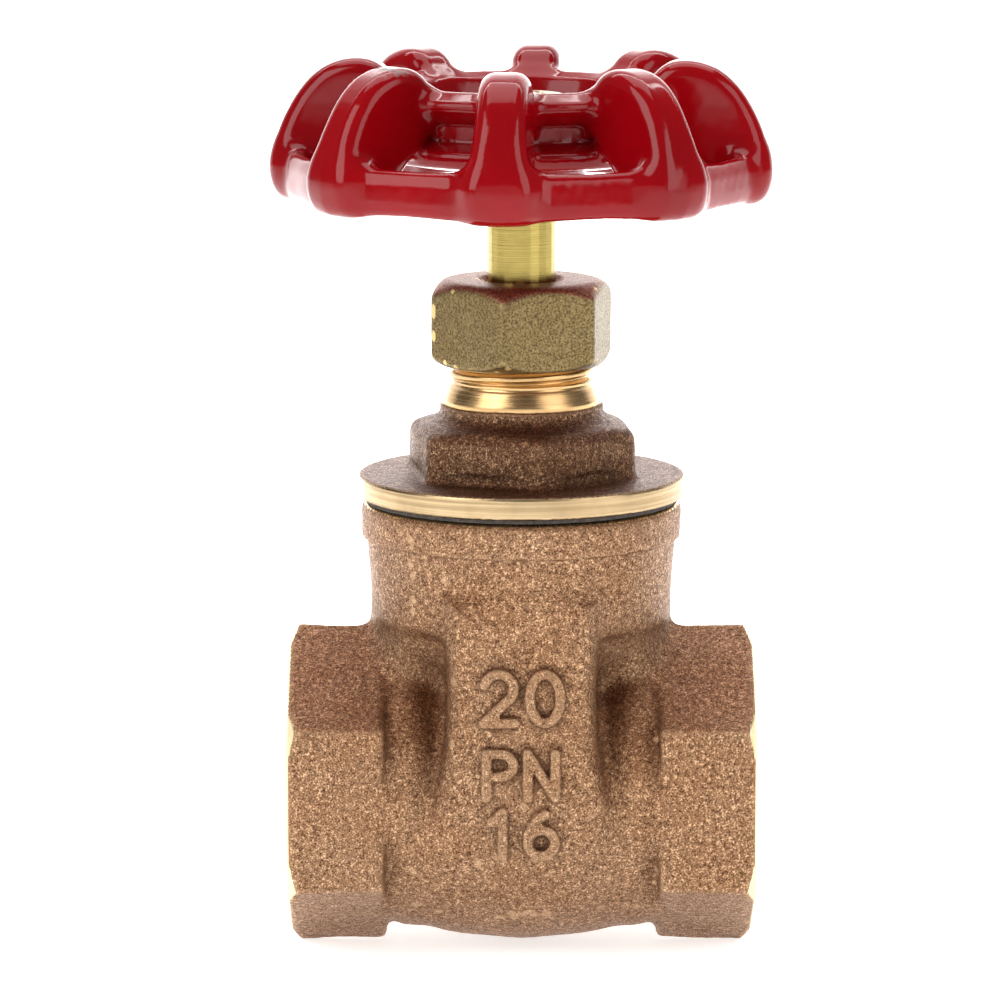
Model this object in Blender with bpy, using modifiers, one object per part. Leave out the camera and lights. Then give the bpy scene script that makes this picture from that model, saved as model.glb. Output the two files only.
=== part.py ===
"""Three-quarter inch bronze gate valve with a non-rising stem, female threaded ends and a screwed bonnet.

Run with: blender --background --python part.py

The frame: the origin is where the pipe axis (X) meets the stem axis (Z), and +Z points up the stem.
The gate is shown closed. Turning the handwheel by +Z lifts it, because the stem thread is left-handed.
"""

import math

import bmesh
import bpy
from mathutils import Matrix, Vector

MM = 0.001

# Driving dimensions, in millimetres unless a name says degrees.
HEX_FLATS = 32.0          # across the flats of the pipe ends
FACE_TO_FACE = 53.0
PORT_RADIUS = 9.2
THREAD_MOUTH_RADIUS = 13.0
THREAD_END_RADIUS = 12.1
THREAD_DEPTH = 13.0
HEX_LENGTH = 10.7
TUBE_RADIUS = 14.8

NECK_TOP = 33.0
NECK_TOP_RADIUS = 18.3
NECK_FOOT = 20.6
NECK_FOOT_RADIUS = 17.45
NECK_BORE_RADIUS = 14.5
BONNET_SOCKET_RADIUS = 15.9
BONNET_SOCKET_FLOOR = 26.0

POCKET_HALF_LENGTH = 8.7  # along the pipe, outside
POCKET_HALF_WIDTH = 17.3  # across the pipe, outside
POCKET_EDGE = 2.6         # rounding of its upright edges
POCKET_INNER_RADIUS = 13.2
BELLY_RADII = (15.1, 17.5, 17.8)
SHOULDER_RADIUS = 16.6    # the roll between the pocket and each pipe end

WEDGE_TAPER = math.tan(math.radians(3.0))
WEDGE_HALF_THICKNESS = 5.0    # on the pipe axis
WEDGE_RADIUS = 11.4
SEAT_RADIUS = 11.7
SEAT_STAND_OUT = 0.7
GUIDE_HALF_THICKNESS = 1.5
GUIDE_REACH = 13.8
GUIDE_SPAN = (-7.0, 4.0)

FLANGE_RADIUS = 18.5
FLANGE_BOTTOM = 33.7
FLANGE_TOP = 36.2
BONNET_HEX_FLATS = 24.0
BONNET_HEX_TOP = 42.0
BONNET_HEX_TURN_DEG = 39.6
BONNET_NECK_RADIUS = 8.2
BONNET_NECK_TOP = 55.2
STUFFING_RADIUS = 5.9
COLLAR_SEAT = 42.2

NUT_FLATS = 18.9
NUT_BOTTOM = 48.7
NUT_TOP = 58.4
NUT_CEILING = 56.5
NUT_TURN_DEG = 18.5

STEM_RADIUS = 3.9
STEM_BOTTOM = 9.3
STEM_THREAD_TOP = 37.6
THREAD_LEAD = 3.0
THREAD_CORE_RADIUS = 2.4
THREAD_CREST_RADIUS = 3.1
THREAD_ROOT_WIDTH = 1.6
THREAD_CREST_WIDTH = 0.9
THREAD_CLEARANCE = 0.25
TANG_SIDE = 5.4
TANG_BOTTOM = 66.6
TANG_TOP = 75.4
STEM_TOP = 79.6
STEM_TIP_RADIUS = 2.5

WHEEL_LOBES = 8
WHEEL_TURN_DEG = -95.7    # direction of the first lobe
WHEEL_RADIUS = 28.5
WHEEL_NOTCH_RADIUS = 26.0
WHEEL_BOTTOM = 68.4
WHEEL_BAND_TOP = 74.8
WHEEL_BAND_INNER_RADIUS = 24.2
WHEEL_TOP = 83.0
FIN_HALF_THICKNESS = 2.7
RING_LIP_TOP = 80.8

ROUND_STEPS = 32
THREAD_STEPS_PER_TURN = 12
FIT = 0.3                 # radial room between a round piece and its hole
FACE_GAP = 0.15           # room between faces that rest on each other


# ---------------------------------------------------------------- scene and helpers

def clear_scene():
    """Empties the startup scene."""
    for obj in list(bpy.data.objects):
        bpy.data.objects.remove(obj)


def make_collection(name):
    """A new collection under the scene's own."""
    collection = bpy.data.collections.new(name)
    bpy.context.scene.collection.children.link(collection)
    return collection


def make_material(name, colour, roughness, metallic):
    """A plain Principled material."""
    material = bpy.data.materials.new(name)
    material.use_nodes = True
    shader = material.node_tree.nodes["Principled BSDF"]
    shader.inputs["Base Color"].default_value = (*colour, 1.0)
    shader.inputs["Roughness"].default_value = roughness
    shader.inputs["Metallic"].default_value = metallic
    return material


def add_object(name, mesh, collection, material=None):
    """Links a new object that shows the mesh."""
    obj = bpy.data.objects.new(name, mesh)
    collection.objects.link(obj)
    if material:
        mesh.materials.append(material)
    return obj


def hide_helper(obj):
    """Marks an operand of a Boolean, which is no part of the valve itself."""
    obj.hide_render = True
    obj.display_type = "WIRE"
    return obj


def turned(name, profile, collection, material=None, along_x=False, closed=False, steps=ROUND_STEPS):
    """Revolves (radius, height) points about Z, or about X when along_x is set.

    The points run down the outer side. closed joins the last to the first, as for a ring."""
    bm = bmesh.new()
    corners = [bm.verts.new((r * MM, 0.0, h * MM)) for r, h in profile]
    for first, second in zip(corners, corners[1:]):
        bm.edges.new((first, second))
    if closed:
        bm.edges.new((corners[-1], corners[0]))
    mesh = bpy.data.meshes.new(name)
    bm.to_mesh(mesh)
    bm.free()
    obj = add_object(name, mesh, collection, material)
    screw = obj.modifiers.new("Turn", "SCREW")
    screw.steps = steps
    screw.render_steps = steps
    screw.use_merge_vertices = True
    screw.merge_threshold = 0.00001
    screw.use_smooth_shade = True
    if along_x:
        obj.rotation_euler = (0.0, math.pi / 2, 0.0)
    return obj


def ring(name, outer, inner, bottom, top, collection, material, steps=ROUND_STEPS):
    """A plain round ring."""
    profile = [(outer, top), (outer, bottom), (inner, bottom), (inner, top)]
    return turned(name, profile, collection, material, closed=True, steps=steps)


def prism(name, corners, bottom, top, collection, material=None, matrix=None):
    """An upright prism over (x, y) corners given counter-clockwise, then turned by matrix."""
    bm = bmesh.new()
    base = bm.faces.new([bm.verts.new((x * MM, y * MM, bottom * MM)) for x, y in corners])
    raised = bmesh.ops.extrude_face_region(bm, geom=[base])["geom"]
    lifted = [item for item in raised if isinstance(item, bmesh.types.BMVert)]
    bmesh.ops.translate(bm, verts=lifted, vec=(0.0, 0.0, (top - bottom) * MM))
    bmesh.ops.recalc_face_normals(bm, faces=bm.faces)
    mesh = bpy.data.meshes.new(name)
    bm.to_mesh(mesh)
    bm.free()
    if matrix:
        mesh.transform(matrix)
    return add_object(name, mesh, collection, material)


def regular_corners(sides, across_flats, turn_deg=0.0):
    """The corners of a regular polygon, its first one at turn_deg from +X."""
    radius = across_flats / 2 / math.cos(math.pi / sides)
    turn = math.radians(turn_deg)
    angles = [turn + 2 * math.pi * i / sides for i in range(sides)]
    return [(radius * math.cos(a), radius * math.sin(a)) for a in angles]


def slab(name, x_span, y_span, z_span, collection, edge=0.0):
    """A box between the given millimetre limits, its upright edges rounded by edge."""
    bm = bmesh.new()
    bmesh.ops.create_cube(bm, size=1.0)
    spans = (x_span, y_span, z_span)
    size = [(high - low) * MM for low, high in spans]
    centre = [(high + low) / 2 * MM for low, high in spans]
    bmesh.ops.scale(bm, verts=bm.verts, vec=size)
    bmesh.ops.translate(bm, verts=bm.verts, vec=centre)
    if edge:
        upright = [e for e in bm.edges if abs(e.verts[0].co.z - e.verts[1].co.z) > 1e-6]
        bmesh.ops.bevel(bm, geom=upright, offset=edge * MM, segments=3, profile=0.5, affect="EDGES")
    mesh = bpy.data.meshes.new(name)
    bm.to_mesh(mesh)
    bm.free()
    return add_object(name, mesh, collection)


def tapered_slab(name, half_thickness, half_width, bottom, top, collection):
    """A slab across the pipe that grows thicker upwards at the wedge's own taper."""
    low = half_thickness + bottom * WEDGE_TAPER
    high = half_thickness + top * WEDGE_TAPER
    corners = [(-low, bottom), (low, bottom), (high, top), (-high, top)]
    stand_up = Matrix.Rotation(math.pi / 2, 4, "X")
    return prism(name, corners, -half_width, half_width, collection, matrix=stand_up)


def boolean(target, operation, *operands):
    """Adds one exact Boolean for each operand."""
    for operand in operands:
        modifier = target.modifiers.new(operand.name, "BOOLEAN")
        modifier.operation = operation
        modifier.object = hide_helper(operand)
        modifier.solver = "EXACT"
    return target


def helix_ridge(name, bottom, top, foot_radius, crest_radius, grow, collection):
    """The left-handed ridge of the stem thread as a closed solid, its faces moved out by grow."""
    half_root = THREAD_ROOT_WIDTH / 2 + grow
    half_crest = THREAD_CREST_WIDTH / 2 + grow
    section = [
        (foot_radius, -half_root),
        (crest_radius + grow, -half_crest),
        (crest_radius + grow, half_crest),
        (foot_radius, half_root),
    ]
    count = round((top - bottom) / THREAD_LEAD * THREAD_STEPS_PER_TURN)
    bm = bmesh.new()
    rows = []
    for i in range(count + 1):
        height = bottom + i * THREAD_LEAD / THREAD_STEPS_PER_TURN
        angle = -2 * math.pi * height / THREAD_LEAD
        rows.append([
            bm.verts.new((r * math.cos(angle) * MM, r * math.sin(angle) * MM, (height + h) * MM))
            for r, h in section
        ])
    sides = len(section)
    for lower, upper in zip(rows, rows[1:]):
        for k in range(sides):
            n = (k + 1) % sides
            bm.faces.new((lower[k], lower[n], upper[n], upper[k]))
    bm.faces.new(rows[0][::-1])
    bm.faces.new(rows[-1])
    bmesh.ops.recalc_face_normals(bm, faces=bm.faces)
    mesh = bpy.data.meshes.new(name)
    bm.to_mesh(mesh)
    bm.free()
    return add_object(name, mesh, collection)


# ---------------------------------------------------------------- body

def body_outside(helpers):
    """The solids that make up the casting's outside, without its hollows."""
    end = FACE_TO_FACE / 2
    hex_inner = end - HEX_LENGTH
    corner = HEX_FLATS / math.sqrt(3)
    lie_along_x = Matrix.Rotation(math.pi / 2, 4, "Y")
    solids = []
    for name, side in (("hex_left", -1), ("hex_right", 1)):
        span = sorted((side * (hex_inner - 0.6), side * end))
        hexagon = prism(name, regular_corners(6, HEX_FLATS), *span, helpers, matrix=lie_along_x)
        chamfer_profile = [
            (0.0, end),
            (corner - 1.9, end),
            (corner + 0.2, end - 1.2),
            (corner + 0.2, hex_inner + 0.8),
            (corner - 1.4, hex_inner - 0.1),
            (0.0, hex_inner - 0.1),
        ]
        envelope = turned(name + "_envelope", chamfer_profile, helpers, along_x=True)
        if side < 0:
            envelope.rotation_euler = (0.0, -math.pi / 2, 0.0)
        solids.append(boolean(hexagon, "INTERSECT", envelope))
    tube = [(0.0, hex_inner + 3.0), (TUBE_RADIUS, hex_inner + 3.0),
            (TUBE_RADIUS, -hex_inner - 3.0), (0.0, -hex_inner - 3.0)]
    solids.append(turned("seat_tube", tube, helpers, along_x=True))
    neck = [(0.0, NECK_TOP), (NECK_TOP_RADIUS, NECK_TOP), (NECK_FOOT_RADIUS, NECK_FOOT),
            (NECK_FOOT_RADIUS - 0.5, NECK_FOOT - 2.0),
            (NECK_FOOT_RADIUS - 3.1, NECK_FOOT - 5.2), (0.0, NECK_FOOT - 5.2)]
    solids.append(turned("neck", neck, helpers))
    shoulder = [(0.0, 14.3), (TUBE_RADIUS - 0.7, 14.3), (SHOULDER_RADIUS, 12.4), (SHOULDER_RADIUS, -12.4),
                (TUBE_RADIUS - 0.7, -14.3), (0.0, -14.3)]
    shoulders = turned("shoulders", shoulder, helpers, along_x=True, steps=ROUND_STEPS - 1)
    upper_half = slab("upper_half", (-15.0, 15.0), (-20.0, 20.0), (2.0, 20.0), helpers)
    solids.append(boolean(shoulders, "INTERSECT", upper_half))
    solids.append(slab("pocket", (-POCKET_HALF_LENGTH, POCKET_HALF_LENGTH),
                       (-POCKET_HALF_WIDTH, POCKET_HALF_WIDTH), (-1.3, NECK_FOOT + 1.6), helpers,
                       edge=POCKET_EDGE))
    solids.append(belly(helpers))
    return solids


def belly(helpers):
    """The rounded bulge under and around the seats."""
    bm = bmesh.new()
    bmesh.ops.create_uvsphere(bm, u_segments=26, v_segments=17, radius=1.0)
    bmesh.ops.scale(bm, verts=bm.verts, vec=Vector(BELLY_RADII) * MM)
    mesh = bpy.data.meshes.new("belly")
    bm.to_mesh(mesh)
    bm.free()
    return add_object("belly", mesh, helpers)


def gate_pocket(name, half_thickness, helpers):
    """The hollow that the wedge slides in: a tapered slab with a round bottom."""
    top = BONNET_SOCKET_FLOOR + 1.0
    pocket = tapered_slab(name, half_thickness, POCKET_INNER_RADIUS, -POCKET_INNER_RADIUS, top, helpers)
    radius, reach = POCKET_INNER_RADIUS, POCKET_HALF_LENGTH + 4.0
    floor = turned(name + "_floor", [(0.0, reach), (radius, reach), (radius, -reach), (0.0, -reach)],
                   helpers, along_x=True)
    shaft = slab(name + "_shaft", (-reach, reach), (-radius, radius), (0.0, top), helpers)
    outline = boolean(floor, "UNION", shaft)
    return boolean(pocket, "INTERSECT", outline)


def port_bore(helpers):
    """The straight way through, with the tapered thread bore at each end and its countersink."""
    end = FACE_TO_FACE / 2
    floor = end - THREAD_DEPTH
    half = [
        (THREAD_MOUTH_RADIUS + 1.5, end + 0.5),
        (THREAD_MOUTH_RADIUS, end - 1.0),
        (THREAD_END_RADIUS, floor),
        (PORT_RADIUS, floor - 1.4),
    ]
    mirrored = [(r, -h) for r, h in reversed(half)]
    profile = [(0.0, end + 0.5), *half, *mirrored, (0.0, -end - 0.5)]
    return turned("port_bore", profile, helpers, along_x=True)


def build_body(parts, helpers, material):
    """The one-piece body casting with its two integral seats and its guide grooves."""
    outside = body_outside(helpers)
    body = add_object("valve_body", bpy.data.meshes.new("valve_body"), parts, material)
    boolean(body, "UNION", *outside)
    weld = body.modifiers.new("Weld", "WELD")
    weld.merge_threshold = 0.000002
    boolean(body, "DIFFERENCE", gate_pocket("pocket_room", WEDGE_HALF_THICKNESS + SEAT_STAND_OUT, helpers))
    seat_reach = POCKET_HALF_LENGTH + 1.0
    seats = turned("seats", [(0.0, seat_reach), (SEAT_RADIUS, seat_reach),
                             (SEAT_RADIUS, -seat_reach), (0.0, -seat_reach)], helpers, along_x=True)
    boolean(body, "UNION", seats)
    boolean(body, "DIFFERENCE", gate_pocket("wedge_room", WEDGE_HALF_THICKNESS + FACE_GAP, helpers))
    groove_half = GUIDE_HALF_THICKNESS + FIT
    for name, side in (("groove_front", -1), ("groove_back", 1)):
        span = sorted((side * (WEDGE_RADIUS - 1.0), side * (GUIDE_REACH + FIT + 0.1)))
        groove = slab(name, (-groove_half, groove_half), span,
                      (GUIDE_SPAN[0] - 0.6, BONNET_SOCKET_FLOOR + 0.5), helpers)
        boolean(body, "DIFFERENCE", groove)
    neck_room = [(0.0, NECK_TOP + 1.0), (BONNET_SOCKET_RADIUS, NECK_TOP + 1.0),
                 (BONNET_SOCKET_RADIUS, BONNET_SOCKET_FLOOR),
                 (NECK_BORE_RADIUS, BONNET_SOCKET_FLOOR - 1.0), (NECK_BORE_RADIUS, NECK_FOOT + 1.5),
                 (POCKET_INNER_RADIUS - 2.0, NECK_FOOT - 1.0), (0.0, NECK_FOOT - 1.0)]
    boolean(body, "DIFFERENCE", turned("neck_room", neck_room, helpers), port_bore(helpers))
    return body


# ---------------------------------------------------------------- bonnet and stuffing box

def build_bonnet(parts, helpers, material):
    """The bonnet: spigot, round flange, wrench hexagon, cone and threaded stuffing box."""
    hexagon = prism("bonnet_hex", regular_corners(6, BONNET_HEX_FLATS, BONNET_HEX_TURN_DEG),
                    FLANGE_TOP - 1.0, BONNET_HEX_TOP, helpers)
    corner = BONNET_HEX_FLATS / math.sqrt(3)
    dome = [(0.0, BONNET_HEX_TOP + 0.2), (11.0, BONNET_HEX_TOP + 0.2), (corner + 0.1, BONNET_HEX_TOP - 1.2),
            (corner + 0.1, FLANGE_TOP - 2.0), (0.0, FLANGE_TOP - 2.0)]
    boolean(hexagon, "INTERSECT", turned("bonnet_hex_dome", dome, helpers))
    spigot_radius = BONNET_SOCKET_RADIUS - FIT
    spigot_bottom = BONNET_SOCKET_FLOOR + 0.6
    outside = [
        (STUFFING_RADIUS, BONNET_NECK_TOP),
        (BONNET_NECK_RADIUS - 0.5, BONNET_NECK_TOP),
        (BONNET_NECK_RADIUS, BONNET_NECK_TOP - 0.6),
        (BONNET_NECK_RADIUS, 46.5),
        (9.0, 44.2),
        (9.7, 42.6),
        (12.0, 41.0),
        (12.0, FLANGE_TOP),
        (FLANGE_RADIUS, FLANGE_TOP - 0.1),
        (FLANGE_RADIUS, FLANGE_BOTTOM),
        (spigot_radius, FLANGE_BOTTOM),
        (spigot_radius, spigot_bottom + 0.8),
        (spigot_radius - 0.8, spigot_bottom),
        (POCKET_INNER_RADIUS, spigot_bottom),
        (POCKET_INNER_RADIUS, 34.2),
        (7.2, 35.8),
        (7.2, 38.3),
        (STEM_RADIUS + FIT, 38.9),
        (STEM_RADIUS + FIT, COLLAR_SEAT),
        (STUFFING_RADIUS, COLLAR_SEAT),
    ]
    bonnet = turned("bonnet", outside, parts, material, closed=True)
    return boolean(bonnet, "UNION", cored(hexagon, helpers))


def cored(hexagon, helpers):
    """The wrench hexagon with the stem's room taken out, so that it joins the turned bonnet cleanly."""
    core = [(0.0, BONNET_HEX_TOP + 2.0), (10.0, BONNET_HEX_TOP + 2.0), (10.0, FLANGE_TOP - 3.0), (0.0, FLANGE_TOP - 3.0)]
    return boolean(hexagon, "DIFFERENCE", turned("bonnet_hex_core", core, helpers))


def build_packing_nut(parts, helpers, material):
    """The hexagonal nut that presses the gland down."""
    corner = NUT_FLATS / math.sqrt(3)
    nut = prism("packing_nut", regular_corners(6, NUT_FLATS, NUT_TURN_DEG), NUT_BOTTOM, NUT_TOP, parts, material)
    dome = [(0.0, NUT_TOP), (8.6, NUT_TOP), (corner + 0.05, NUT_TOP - 1.7),
            (corner + 0.05, NUT_BOTTOM + 1.0), (corner - 1.7, NUT_BOTTOM), (0.0, NUT_BOTTOM)]
    room = [(0.0, NUT_TOP + 1.0), (STEM_RADIUS + 0.5, NUT_TOP + 1.0), (STEM_RADIUS + 0.5, NUT_CEILING),
            (BONNET_NECK_RADIUS + FIT, NUT_CEILING), (BONNET_NECK_RADIUS + FIT, NUT_BOTTOM - 1.0),
            (0.0, NUT_BOTTOM - 1.0)]
    boolean(nut, "INTERSECT", turned("nut_dome", dome, helpers))
    return boolean(nut, "DIFFERENCE", turned("nut_room", room, helpers))


def build_stuffing_pieces(parts, materials):
    """What fills the stuffing box, from the stem's collar upwards."""
    outer = STUFFING_RADIUS - FIT
    inner = STEM_RADIUS + FIT
    brass, packing = materials["machined_brass"], materials["packing"]
    ring("collar_washer", outer, inner, 42.35, 42.95, parts, brass, steps=24)
    ring("stem_retainer_ring", outer, inner, 45.2, 47.6, parts, brass, steps=24)
    ring("packing_washer", outer, inner, 47.8, 48.4, parts, brass, steps=24)
    packing_bottom, packing_height = 48.55, 1.3
    for i in range(3):
        bottom = packing_bottom + i * (packing_height + FACE_GAP)
        ring(f"packing_ring_{i + 1}", outer, inner, bottom, bottom + packing_height, parts, packing, steps=24)
    gland = [(7.4, 56.3), (7.4, 55.4), (outer, 55.4), (outer, 53.0), (inner, 53.0), (inner, 56.3)]
    turned("gland_follower", gland, parts, brass, closed=True, steps=24)


# ---------------------------------------------------------------- stem and wedge

def build_stem(parts, helpers, material):
    """The non-rising stem: left-hand thread, thrust collar, shank, square tang and threaded tip."""
    collar_bottom, collar_top = 43.1, 45.0
    collar_radius = STUFFING_RADIUS - FIT
    profile = [
        (0.0, TANG_BOTTOM),
        (STEM_RADIUS - 0.4, TANG_BOTTOM),
        (STEM_RADIUS, TANG_BOTTOM - 0.5),
        (STEM_RADIUS, collar_top),
        (collar_radius, collar_top),
        (collar_radius, collar_bottom),
        (STEM_RADIUS, collar_bottom),
        (STEM_RADIUS, STEM_THREAD_TOP + 1.6),
        (THREAD_CORE_RADIUS, STEM_THREAD_TOP),
        (THREAD_CORE_RADIUS, STEM_BOTTOM),
        (0.0, STEM_BOTTOM),
    ]
    stem = turned("stem", profile, parts, material, steps=24)
    ridge = helix_ridge("stem_ridge", STEM_BOTTOM + 0.9, STEM_THREAD_TOP - 0.2,
                        THREAD_CORE_RADIUS - 0.3, THREAD_CREST_RADIUS, 0.0, helpers)
    tang = prism("tang", regular_corners(4, TANG_SIDE, 45.0), TANG_BOTTOM - 1.0, TANG_TOP, helpers)
    tip = turned("tip", [(0.0, STEM_TOP), (STEM_TIP_RADIUS - 0.4, STEM_TOP), (STEM_TIP_RADIUS, STEM_TOP - 0.5),
                         (STEM_TIP_RADIUS, TANG_TOP - 1.0), (0.0, TANG_TOP - 1.0)], helpers, steps=24)
    return boolean(stem, "UNION", ridge, tang, tip)


def build_wedge(parts, helpers, material):
    """The solid wedge gate, with its side guides and the threaded boss that rides on the stem."""
    boss_radius, boss_top = 5.0, 15.4
    thread_floor = 9.6
    wedge = tapered_slab("wedge_gate", WEDGE_HALF_THICKNESS, WEDGE_RADIUS + 1.0,
                         -WEDGE_RADIUS - 1.0, WEDGE_RADIUS + 1.0, parts)
    wedge.data.materials.append(material)
    reach = WEDGE_HALF_THICKNESS + 3.0
    disc = turned("disc_round", [(0.0, reach), (WEDGE_RADIUS, reach), (WEDGE_RADIUS, -reach), (0.0, -reach)],
                  helpers, along_x=True)
    boolean(wedge, "INTERSECT", disc)
    guides = slab("guides", (-GUIDE_HALF_THICKNESS, GUIDE_HALF_THICKNESS), (-GUIDE_REACH, GUIDE_REACH),
                  GUIDE_SPAN, helpers)
    boss = turned("boss", [(0.0, boss_top), (boss_radius - 0.6, boss_top), (boss_radius, boss_top - 0.6),
                           (boss_radius - 0.2, 7.0), (0.0, 7.0)], helpers, steps=24)
    boolean(wedge, "UNION", guides, boss)
    plain_radius = THREAD_CREST_RADIUS + THREAD_CLEARANCE + 0.15
    core_radius = THREAD_CORE_RADIUS + THREAD_CLEARANCE
    hole = [(0.0, boss_top + 1.0), (core_radius + 0.8, boss_top + 1.0), (core_radius, boss_top - 0.3),
            (core_radius, thread_floor), (plain_radius, thread_floor - 0.7),
            (plain_radius, -WEDGE_RADIUS - 2.0), (0.0, -WEDGE_RADIUS - 2.0)]
    groove = helix_ridge("nut_groove", THREAD_LEAD * 2.5, THREAD_LEAD * 6.0,
                         core_radius - 0.3, THREAD_CREST_RADIUS, THREAD_CLEARANCE, helpers)
    return boolean(wedge, "DIFFERENCE", turned("stem_hole", hole, helpers, steps=24), groove)


# ---------------------------------------------------------------- handwheel

def lobed_corners(inset=0.0, points_per_lobe=8):
    """The wheel's outline seen from above, one rounded lobe for each fin."""
    corners = []
    count = WHEEL_LOBES * points_per_lobe
    depth = WHEEL_RADIUS - WHEEL_NOTCH_RADIUS
    for i in range(count):
        phase = 2 * math.pi * i / points_per_lobe
        swell = ((1 + math.cos(phase)) / 2) ** 0.6
        radius = WHEEL_NOTCH_RADIUS + depth * swell - inset
        angle = math.radians(WHEEL_TURN_DEG) + 2 * math.pi * i / count
        corners.append((radius * math.cos(angle), radius * math.sin(angle)))
    return corners


def wheel_fin(index, helpers):
    """One radial fin, arched from the outer band over to the inner ring."""
    outline = [
        (23.0, WHEEL_BOTTOM + 0.4), (27.4, WHEEL_BOTTOM + 0.4), (28.2, WHEEL_BOTTOM + 1.4), (28.1, 71.5),
        (27.2, 75.0), (25.6, 78.6), (23.6, 80.9), (21.2, 82.5), (18.8, WHEEL_TOP), (17.0, 82.7),
        (15.6, 82.0), (14.8, RING_LIP_TOP), (14.4, 78.0), (18.0, 74.5),
    ]
    stand_up = Matrix.Rotation(math.pi / 2, 4, "X")
    angle = math.radians(WHEEL_TURN_DEG + 360.0 * index / WHEEL_LOBES)
    turn = Matrix.Rotation(angle, 4, "Z")
    return prism(f"fin_{index}", outline, -FIN_HALF_THICKNESS, FIN_HALF_THICKNESS, helpers,
                 matrix=turn @ stand_up)


def build_handwheel(parts, helpers, material):
    """The open cast handwheel: lobed outer band, eight fins, inner ring, cup and hub."""
    square_room = TANG_SIDE / 2 + FACE_GAP
    wheel = prism("handwheel", lobed_corners(), WHEEL_BOTTOM, WHEEL_BAND_TOP, parts, material)
    hollow = turned("band_hollow", [(0.0, 90.0), (WHEEL_BAND_INNER_RADIUS, 90.0),
                                    (WHEEL_BAND_INNER_RADIUS, 60.0), (0.0, 60.0)], helpers)
    boolean(wheel, "DIFFERENCE", hollow)
    cup = turned("wheel_cup", [
        (0.0, 74.0), (9.0, 74.0), (11.2, 75.4), (12.6, 79.6), (14.0, RING_LIP_TOP), (15.6, RING_LIP_TOP),
        (17.0, 79.6), (17.0, 78.2), (15.2, 77.0), (14.4, 75.0), (17.2, 74.2), (17.2, 72.8), (13.0, 71.6),
        (7.4, 71.0), (7.0, TANG_BOTTOM + FACE_GAP), (0.0, TANG_BOTTOM + FACE_GAP),
    ], helpers)
    fins = [wheel_fin(i, helpers) for i in range(WHEEL_LOBES)]
    boolean(wheel, "UNION", *fins, cup)
    square = slab("square_hole", (-square_room, square_room), (-square_room, square_room), (60.0, 76.0), helpers)
    return boolean(wheel, "DIFFERENCE", square)


def build_wheel_fixings(parts, helpers, material):
    """The washer and nut that hold the handwheel on its square."""
    ring("wheel_washer", 5.6, TANG_SIDE / math.sqrt(2) + 0.25, 74.2, 75.1, parts, material, steps=24)
    nut = prism("wheel_nut", regular_corners(6, 9.6, 12.0), 75.6, 79.4, parts, material)
    dome = [(0.0, 79.4), (4.6, 79.4), (5.6, 78.7), (5.6, 75.6), (0.0, 75.6)]
    hole = [(0.0, 80.0), (STEM_TIP_RADIUS + FIT, 80.0), (STEM_TIP_RADIUS + FIT, 75.0), (0.0, 75.0)]
    boolean(nut, "INTERSECT", turned("wheel_nut_dome", dome, helpers, steps=24))
    boolean(nut, "DIFFERENCE", turned("wheel_nut_hole", hole, helpers, steps=24))


# ---------------------------------------------------------------- assembly

def main():
    """Builds every piece of the valve in its place."""
    clear_scene()
    parts = make_collection("gate_valve")
    helpers = make_collection("cutters")
    materials = {
        "cast_bronze": make_material("cast_bronze", (0.42, 0.25, 0.14), 0.5, 0.9),
        "forged_brass": make_material("forged_brass", (0.50, 0.38, 0.18), 0.45, 0.9),
        "machined_brass": make_material("machined_brass", (0.75, 0.55, 0.22), 0.22, 1.0),
        "red_enamel": make_material("red_enamel", (0.45, 0.01, 0.015), 0.12, 0.0),
        "packing": make_material("packing", (0.30, 0.29, 0.27), 0.9, 0.0),
        "gasket_fibre": make_material("gasket_fibre", (0.06, 0.05, 0.04), 0.9, 0.0),
        "zinc_steel": make_material("zinc_steel", (0.55, 0.53, 0.46), 0.4, 0.9),
    }
    build_body(parts, helpers, materials["cast_bronze"])
    ring("bonnet_gasket", 17.9, BONNET_SOCKET_RADIUS + 0.1, NECK_TOP + FACE_GAP,
         FLANGE_BOTTOM - FACE_GAP, parts, materials["gasket_fibre"])
    build_bonnet(parts, helpers, materials["cast_bronze"])
    build_packing_nut(parts, helpers, materials["forged_brass"])
    build_stuffing_pieces(parts, materials)
    build_stem(parts, helpers, materials["machined_brass"])
    build_wedge(parts, helpers, materials["machined_brass"])
    build_handwheel(parts, helpers, materials["red_enamel"])
    build_wheel_fixings(parts, helpers, materials["zinc_steel"])


main()
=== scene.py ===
"""The looks of a three-quarter inch bronze gate valve: cast shapes, threads, materials, light and camera.

The cast and forged pieces are modelled as distance fields, in millimetres, so that every corner gets the soft
fillet of a casting. Threads and turned pieces are swept surfaces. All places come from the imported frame.
"""

import math

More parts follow.
